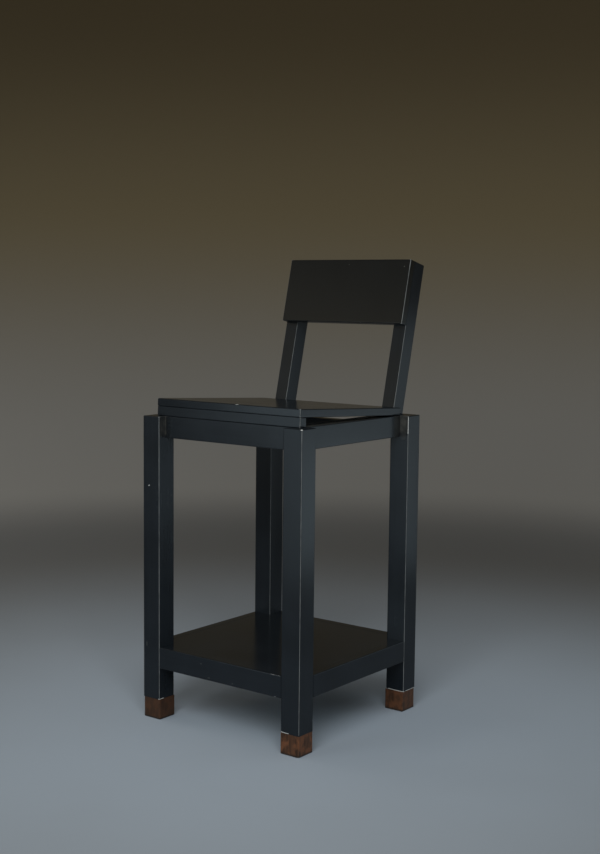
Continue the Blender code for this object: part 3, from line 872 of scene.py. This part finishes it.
# %% Nicks and painted glints
LEG_END = 0.331
FOOT_END = 0.024
NICKS_AND_GLINTS = {
    "seat": [((0.026, -1, 1), (0.036, -1, 1), 0.0011, 0.0005)],
    "back_board": [
        ((0.002, -1, 0.84), (0.002, -1, 0.84), 0.0008, 0.0003),
        ((0.164, -1, 0.77), (0.164, -1, 0.77), 0.0008, 0.0003),
        ((-0.043, -1, -1), (-0.041, -1, -1), 0.0012, 0.0005),
        ((0.06, -1, -1), (0.061, -1, -1), 0.0012, 0.0005),
        ((0.132, -1, -1), (0.134, -1, -1), 0.0012, 0.0005),
    ],
    "lower_rail_front": [
        ((0.163, -1, -1), (0.164, -1, -1), 0.0024, 0.0008),
        ((0.15, -1, 1), (0.175, -1, 1), 0.0009, 0.0002),
    ],
    "leg_front_left": [
        ((0.17, -0.32, -1), (0.171, -0.22, -1), 0.0011, 0.0003),
        # chips along the bottom edge, which are also a painted glint where leg meets foot
        ((-LEG_END, 0.9, -1), (-LEG_END, 1, -1), 0.002, 0.0004),
        ((-LEG_END, 1, -1), (-LEG_END, 1, -0.4), 0.0006, 0.0002),
    ],
    "leg_front_right": [
        ((-0.308, 1, 1), (-0.306, 1, 1), 0.0022, 0.0008),
        ((LEG_END, 0.9, -1), (LEG_END, 1, -0.9), 0.002, 0.0004),
        # chips along the bottom edge, which are also a painted glint where leg meets foot
        ((-LEG_END, -1, -1), (-LEG_END, -0.65, -1), 0.0023, 0.0005),
        ((-LEG_END, -0.65, -1), (-LEG_END, -0.15, -1), 0.0011, 0.0004),
    ],
    "leg_back_right": [
        ((0.29, 1, -1), (0.328, 1, -1), 0.0013, 0.0002),
        # chips along the bottom edge, which are also a painted glint where leg meets foot
        ((-LEG_END, -0.95, -1), (-LEG_END, -0.9, -1), 0.0018, 0.0004),
        ((-LEG_END, -0.7, -1), (-LEG_END, -0.2, -1), 0.0024, 0.0005),
        ((-LEG_END, -0.2, -1), (-LEG_END, 0.8, -1), 0.0008, 0.0002),
        ((-LEG_END, 0.9, -1), (-LEG_END, 1, -0.9), 0.0024, 0.0005),
        ((-LEG_END, 1, -0.6), (-LEG_END, 1, 0.4), 0.0011, 0.0003),
        ((-LEG_END, 1, 0.4), (-LEG_END, 1, 0.9), 0.0017, 0.0004),
    ],
    # a pale chip at the bottom corner of the foot, which is also a painted glint
    "foot_front_right": [((-FOOT_END, 0.95, -1), (-FOOT_END, 1, -0.95), 0.004, 0.0012)],
}
print("nicks:", sum(len(nicks_and_glints) for nicks_and_glints in NICKS_AND_GLINTS.values()), "on", len(NICKS_AND_GLINTS), "pieces")

# %% Dust
DUSTY = {
    "lower_rail_front": [
        ((-0.051, -1, 0.4), (-0.05, -1, 0.4), 0.0014, 1.0),
        ((-0.029, -1, -0.74), (-0.025, -1, -0.74), 0.0014, 1.0),
        ((0.042, -1, -0.74), (0.043, -1, -0.74), 0.0014, 1.0),
    ],
    "leg_front_left": [
        ((-0.208, -0.58, -1), (-0.2, -0.58, -1), 0.0014, 0.8),
        ((0.29, 1, -0.7), (LEG_END, 1, -0.7), 0.0075, 0.35),
        ((0.29, 1, -0.32), (LEG_END, 1, -0.32), 0.009, 0.4),
        ((0.29, 1, -0.12), (LEG_END, 1, -0.12), 0.0018, 1.0),
    ],
    "leg_back_right": [
        ((0.296, 0.3, -1), (LEG_END, 0.3, -1), 0.0085, 0.65),
        ((0.296, 0.62, -1), (LEG_END, 0.62, -1), 0.0095, 0.6),
        ((0.284, 0.45, -1), (LEG_END, 0.45, -1), 0.011, 0.3),
    ],
    "upper_rail_front": [((-0.172, -1, -1), (-0.172, -1, 1), 0.014, 0.1)],
    "upper_rail_right": [
        ((0.168, -1, -1), (0.168, -1, 1), 0.02, 0.28),
        ((-0.17, -0.2, 1), (0.11, -0.2, 1), 0.0105, 1.0),
    ],
}


def strokes_of(table, node, half):
    """The strokes of a piece from one table, of nicks and painted glints or of dust, in metres in its own
    axes.
    """
    across = Vector((1.0, half.y, half.z))
    return [
        (Vector(start) * across, Vector(end) * across, radius, amount)
        for start, end, radius, amount in table.get(node, [])
    ]


print("dusty places:", sum(len(places) for places in DUSTY.values()), "on", len(DUSTY), "pieces")

# %% [markdown]
# ## Legs and feet
# Each leg is a square post with its grain upright, and stands on a block of brown wood. One post in two
# colours could stand for both, but the foot is a block of its own, so each is made as a board. Where they
# meet, both keep a tight edge. The edges on the right, which face the camera, are drawn palest: partly
# wear, and partly a painted highlight. Each piece has a number, from which its grain and its wear are
# drawn.

# %% Board maker
STROKE_ROOM = 1.5
NOWHERE = at_faces()


def board(node, axes, width, material, slot, seed, wear, length=None, broad=False, tight=NOWHERE, aged=0.0):
    """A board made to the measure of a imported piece, in its own axes."""
    middle, half = span(points_of(node, axes))
    if length:
        half.x = length / 2
    nicks_and_glints = strokes_of(NICKS_AND_GLINTS, node, half)
    dusty = strokes_of(DUSTY, node, half)
    edge = EDGE_ROOM * width
    bm = block(-half, half)
    for axis in range(3):
        even = stations(-half[axis] + edge, half[axis] - edge) if broad or axis == 0 else []
        slice_across(bm, axis, even + stroke_places(nicks_and_glints + dusty, axis, half, STROKE_ROOM * width))
    round_edges(bm, half, width, tight)
    marks = wear_edges(bm, half, width, wear, seed, nicks_and_glints, dusty)
    matrix = Matrix.Translation(axes @ middle) @ axes.to_4x4()
    settle(node, bm, matrix, marks, slot, material, batch=seed, aged=aged)


print("made a board maker")

# %% Legs and feet
EASED = 0.0016
TOP_END = at_faces((1, 0, 0))
BOTTOM_END = at_faces((-1, 0, 0))
EVERYWHERE = at_faces((0, 0, 0))
# the front right edge faces the camera: its pale grey is wear and also a painted highlight
LEG_WEAR_AND_HIGHLIGHT = [(0.3, EVERYWHERE), (0.9, at_faces((0, 1, -1)))]
FOOT_WEAR = [(0.6, EVERYWHERE)]
FOOT_AGE = {"front_left": 0.75, "front_right": 0.0, "back_left": 0.4, "back_right": 0.35}
for seed, corner in enumerate(CORNERS, start=1):
    leg = f"leg_{corner}"
    board(leg, UPRIGHT_GRAIN, EASED, PAINT, "painted_wood", seed, LEG_WEAR_AND_HIGHLIGHT, tight=BOTTOM_END)
    foot = f"foot_{corner}"
    age = FOOT_AGE[corner]
    number = seed + len(CORNERS)
    board(foot, UPRIGHT_GRAIN, EASED, BROWN_WOOD, "brown_wood", number, FOOT_WEAR, tight=TOP_END, aged=age)
print("legs and feet:", 2 * len(CORNERS), "pieces")

# %% [markdown]
# ## Rails
# The rails run between the legs. Rail and tenons could be drawn in one outline, but then every edge would
# be rounded alike. So a rail's own length is read from the corners on its top and bottom, and the tenons
# are joined on afterwards. The shoulders butt against the legs, and the low rails hold the shelf between
# them, so those edges are tight.

# %% Rails
RAIL_WEAR = [(0.35, EVERYWHERE)]
SHELTERED = [(0.0, EVERYWHERE)]
BOTH_ENDS = at_faces((1, 0, 0), (-1, 0, 0))
INNER_SIDE = {"front": 1, "back": -1, "left": -1, "right": 1}


def body_length(node, axes):
    """The length of a rail between its shoulders."""
    points = points_of(node, axes)
    middle, half = span(points)
    return 2 * max(abs(point.x - middle.x) for point in points if half.z - abs(point.z - middle.z) < FLAT)


for seed, (place, axes) in enumerate(PLACES.items(), start=9):
    for ring, offset in (("upper", 0), ("lower", len(PLACES))):
        rail = f"{ring}_rail_{place}"
        length = body_length(rail, axes)
        wear = SHELTERED if rail == "upper_rail_front" else RAIL_WEAR
        tight = BOTH_ENDS
        paint = PAINT
        if ring == "lower":
            tight = at_faces((1, 0, 0), (-1, 0, 0), (0, INNER_SIDE[place], 1))
            paint = SMOOTH_PAINT
        board(rail, axes, EASED, paint, "painted_wood", seed + offset, wear, length=length, tight=tight)
print("rails:", 2 * len(PLACES), "pieces")

# %% [markdown]
# ## Cleats
# A cleat is a plain square batten. Four are screwed to the rails from inside and carry the shelf, and two
# carry the back of the seat. A bare box might do, but sawn wood is never quite sharp, so they come from
# the board maker, with finer edges and no wear.

# %% Cleats
SQUARE = 0.0006
for seed, (place, axes) in enumerate(PLACES.items(), start=18):
    board(f"shelf_cleat_{place}", axes, SQUARE, PAINT, "painted_wood", seed, SHELTERED)
for seed, side in enumerate(("left", "right"), start=22):
    board(f"seat_cleat_{side}", GRAIN_BACK, SQUARE, PAINT, "painted_wood", seed, SHELTERED)
print("cleats:", len(PLACES) + 2, "pieces")

# %% [markdown]
# ## Seat and back board
# Both are broad boards that lean by the angles measured above. They could be made level and turned by
# hand, but axes that lean with them give their measures as well. Their front corners are drawn palest:
# partly wear, and partly a painted highlight.
# The back of the back board lies tight against the uprights, and its paint has yellowed.

# %% Seat and back board
BACK_EASED = 0.0021
BACK_AGE = 0.8
BACK_FACE = at_faces((0, 1, 0))
UNDERSIDE = at_faces((0, 0, -1))
FRONT_CORNERS = at_faces((1, -1, 0), (-1, -1, 0))
# the front corners are drawn palest: wear, and a painted highlight where they face the camera
SEAT_WEAR_AND_HIGHLIGHT = [(0.3, EVERYWHERE), (0.0, UNDERSIDE), (1.0, FRONT_CORNERS)]
BACK_WEAR_AND_HIGHLIGHT = [(0.2, EVERYWHERE), (0.85, FRONT_CORNERS)]


def tilted(angle):
    """Axes turned about X, so that their Z leans back by an angle."""
    return Matrix.Rotation(-angle, 3, "X")


board("seat", tilted(SEAT_SLOPE), EASED, SMOOTH_PAINT, "painted_wood", 24, SEAT_WEAR_AND_HIGHLIGHT, broad=True)
back = {"broad": True, "tight": BACK_FACE, "aged": BACK_AGE}
board("back_board", tilted(LEAN), BACK_EASED, PAINT, "painted_wood", 25, BACK_WEAR_AND_HIGHLIGHT, **back)
print("seat and back board: 2 pieces")

# %% [markdown]
# ## Shelf
# The shelf is not a box: it has a notch round each leg. The notches could be cut out of a board, but it
# is shorter to draw the outline with them and pull it up through the thickness. The top is nearly level
# with the rails, as it looks in the photograph. The batten and the uprights are made in the same way.


# %% Outline maker
def worked_outline(node, axes, rings, places, width, seed, wear, tight=NOWHERE, material=PAINT, rows=()):
    """A piece between two outlines in its own axes, cut across, rounded and worn."""
    bm = tube(rings)
    middle, half = span([vertex.co for vertex in bm.verts])
    bmesh.ops.translate(bm, verts=bm.verts, vec=-middle)
    slice_across(bm, 0, [place - middle.x for place in places])
    slice_across(bm, 2, [row - middle.z for row in rows])
    round_edges(bm, half, width, tight)
    marks = wear_edges(bm, half, width, wear, seed)
    matrix = Matrix.Translation(axes @ middle) @ axes.to_4x4()
    settle(node, bm, matrix, marks, "painted_wood", material, batch=seed)


print("made a maker for pieces with an outline")

# %% Shelf
CRISP = 0.0003
SHELF_STEP = 0.0002


def notched_outline(points):
    """A rectangle with a notch in each corner, from the points of such a board."""
    middle, half = span(points)
    arm_x = max(abs(p.x - middle.x) for p in points if abs(p.x - middle.x) < half.x - SPARE)
    arm_y = max(abs(p.y - middle.y) for p in points if abs(p.y - middle.y) < half.y - SPARE)
    quarter = [(half.x, arm_y), (arm_x, arm_y), (arm_x, half.y)]
    corners = []
    for way_x, way_y in ((1, 1), (-1, 1), (-1, -1), (1, -1)):
        turn = quarter if way_x == way_y else quarter[::-1]
        corners += [(middle.x + way_x * x, middle.y + way_y * y) for x, y in turn]
    return corners


bottom = limits(points_of("shelf"))[0].z
rail_top = limits(points_of("lower_rail_front"))[1].z
corners = notched_outline(points_of("shelf"))
rings = [[Vector((x, y, z)) for x, y in corners] for z in (bottom, rail_top - SHELF_STEP)]
worked_outline("shelf", GRAIN_ACROSS, rings, [], CRISP, 17, SHELTERED, material=SMOOTH_PAINT)
print("shelf: 1 piece with", len(corners), "corners")

# %% [markdown]
# ## Batten
# The batten between the front rail and the seat gives the seat its slope. A box would leave a wedge of
# air under the seat, so its section is drawn with a sloping top and a front that leans with the seat.
# Then the section is pulled out along the grain.

# %% Batten
FINE = 0.0012
BATTEN_TOP = at_faces((0, 0, 1))
# the batten is pale only at its front corners: wear, and a painted highlight on the corner facing the
# camera
BATTEN_WEAR_AND_HIGHLIGHT = [(0.0, EVERYWHERE), (1.0, FRONT_CORNERS)]
low, high = limits(points_of("seat_batten_front"))
seat_low = limits(points_of("seat", tilted(SEAT_SLOPE)))[0]


def under_seat(y):
    """The height just under the seat, at a place from front to back."""
    return (seat_low.z - GAP - y * math.sin(SEAT_SLOPE)) / math.cos(SEAT_SLOPE)


lean_back = (under_seat(low.y) - low.z) * math.tan(SEAT_SLOPE)
section = [
    (low.y, low.z),
    (high.y, low.z),
    (high.y, under_seat(high.y)),
    (low.y + lean_back, under_seat(low.y + lean_back)),
]
rings = [[Vector((x, y, z)) for y, z in section] for x in (low.x, high.x)]
edge = EDGE_ROOM * FINE
places = stations(low.x + edge, high.x - edge)
rows = stations(low.z + edge, high.z - edge)
worked_outline(
    "seat_batten_front", GRAIN_ACROSS, rings, places, FINE, 26, BATTEN_WEAR_AND_HIGHLIGHT, tight=BATTEN_TOP, rows=rows
)
print("batten: 1 piece, its front leans by", round(lean_back, 4), "m")

# %% [markdown]
# ## Uprights
# Each upright is hooked over the back rail: a shoulder sits on the rail's top, and a tongue runs down
# behind it. The notch could be cut out of a leaning post, but the outline of its side can hold it from
# the start. Its level and upright edges are worked out in the axes of the leaning wood.

# %% Uprights
UPRIGHT_ROUND = 0.0014
TOP_TRIM = 0.0002
# the front edges are drawn palest: wear, and a painted highlight on the edge that faces the camera
UPRIGHT_WEAR_AND_HIGHLIGHT = [(0.4, EVERYWHERE), (1.0, at_faces((0, 1, -1), (0, -1, -1)))]
LEANING_GRAIN = tilted(LEAN) @ UPRIGHT_GRAIN
back_rail = limits(points_of("upper_rail_back"))[1]
shoulder = back_rail.z + GAP
behind = back_rail.y + GAP
board_bottom = limits(points_of("back_board", tilted(LEAN)))[0].z


def leaning_point(y, z):
    """Where a point in the world's upright plane lies along an upright, and how deep."""
    along = y * math.sin(LEAN) + z * math.cos(LEAN)
    depth = y * math.cos(LEAN) - z * math.sin(LEAN)
    return along, depth


def at_height(depth, z):
    """The point at a depth in an upright that has a height in the world."""
    return leaning_point((depth + z * math.sin(LEAN)) / math.cos(LEAN), z)


def front_above(place):
    """A test of whether a point lies on the front face, past a place along the grain."""
    def test(point, half, depth=FLAT):
        return point.z < depth - half.z and point.x > place - FLAT

    return test


for seed, side in enumerate(("left", "right"), start=27):
    node = f"upright_{side}"
    low, high = limits(points_of(node, LEANING_GRAIN))
    top = high.x - TOP_TRIM
    bottom = limits(points_of(node))[0].z
    outline = [
        at_height(low.z, shoulder),
        leaning_point(behind, shoulder),
        leaning_point(behind, bottom),
        at_height(high.z, bottom),
        (top, high.z),
        (top, low.z),
    ]
    rings = [[Vector((along, y, depth)) for along, depth in outline] for y in (low.y, high.y)]
    edge = EDGE_ROOM * UPRIGHT_ROUND
    places = stations(outline[1][0] + edge, board_bottom) + stations(board_bottom, top - edge)
    middle = span([point for ring in rings for point in ring])[0]
    tight = front_above(board_bottom - middle.x)
    worked_outline(node, LEANING_GRAIN, rings, places, UPRIGHT_ROUND, seed, UPRIGHT_WEAR_AND_HIGHLIGHT, tight=tight)
print("uprights: 2 pieces")

# %% [markdown]
# ## Screws
# A wood screw could be turned with a Screw modifier. Here it is one tube of rings, so that the cross in
# its head can be part of it: the cross and the round head use the same angles, and so the same number of
# points. The thread is a ridge that climbs once round the shank in each pitch.

# %% Cross and thread
ARM_HALF_WIDTH = 0.00055
ARM_REACH = 0.0023
BETWEEN_ARMS = (29, 45, 61)
CROSS_DEPTH = 0.0015
CROSS_TAPER = 0.6
NECK = 0.0016
CORE = 0.0014
THREAD_PITCH = 0.002
STEPS_TO_PITCH = 6
RIDGE_SHARE = 0.3
PLAIN_SHARE = 0.3


def cross_angles():
    """Angles round a cross: the corners of its arms, and some in between."""
    corner = math.degrees(math.atan2(ARM_HALF_WIDTH, ARM_REACH))
    quarter = (0, corner, *BETWEEN_ARMS, 90 - corner)
    return [math.radians(90 * turn + angle) for turn in range(4) for angle in quarter]


def cross(x, size, angles):
    """The outline of a cross in the plane across a screw."""
    points = []
    for angle in angles:
        y, z = abs(math.cos(angle)), abs(math.sin(angle))
        radius = min(ARM_REACH / max(y, z), ARM_HALF_WIDTH / max(min(y, z), TINY))
        points.append(around(x, size * radius, angle))
    return points


def thread(x, fade, angles):
    """One ring of the thread: its ridge stands where the climb has come round."""
    points = []
    for angle in angles:
        share = (x / THREAD_PITCH - angle / math.tau) % 1.0
        radius = CORE + (SCREW_SHANK - CORE) * max(0.0, 1 - abs(share - 0.5) / RIDGE_SHARE)
        points.append(around(x, fade * radius, angle))
    return points


print("points round a cross:", len(cross_angles()))


# %% Screws
def screw_solid(length, head):
    angles = cross_angles()
    rings = [cross(CROSS_DEPTH, CROSS_TAPER, angles), cross(0.0, 1.0, angles), circle(0.0, head, angles)]
    rings += [circle(SCREW_RIM, head, angles), circle(SCREW_HEAD, NECK, angles)]
    begin = SCREW_HEAD + PLAIN_SHARE * length
    rings.append(circle(begin, NECK, angles))
    count = round((length - begin) / THREAD_PITCH * STEPS_TO_PITCH)
    for step in range(1, count):
        x = begin + (length - begin) * step / count
        rings.append(thread(x, min(1.0, (length - x) / SCREW_POINT), angles))
    return tube(rings + [circle(length, TINY, angles)])


for node in SCREWS:
    start, way, length, radius = line_of(node)
    settle(node, screw_solid(length, radius), standing(start, way), {}, "steel", STEEL)
print("screws:", len(SCREWS))

# %% [markdown]
# ## Dowels
# A dowel is a fluted peg with chamfered ends: the flutes let the glue escape. A plain cylinder would fit
# its hole, but not look like one, so its rings are circles with shallow dents. After that all joints are
# cut, and the tools are thrown away.

# %% Dowels
FLUTES = 12
FLUTE_DEPTH = 0.00025
CHAMFER = 0.001
DOWEL_ROUND = 72


def fluted(x, size):
    """A circle across a dowel, with a dent for each flute."""
    points = []
    for angle in evenly(DOWEL_ROUND):
        here = size - FLUTE_DEPTH * max(0.0, math.cos(FLUTES * angle))
        points.append(around(x, here, angle))
    return points


def dowel_solid(length, radius):
    narrow = radius - CHAMFER
    ends = [(0.0, narrow), (CHAMFER, radius), (length - CHAMFER, radius), (length, narrow)]
    return tube([fluted(x, size) for x, size in ends])


for node in DOWELS:
    start, way, length, radius = line_of(node)
    settle(node, dowel_solid(length, radius), standing(start, way), {}, "bare_wood", BEECH)
for tool in TOOLS:
    tool_mesh = tool.data
    bpy.data.objects.remove(tool)
    bpy.data.meshes.remove(tool_mesh)
print("dowels:", len(DOWELS))
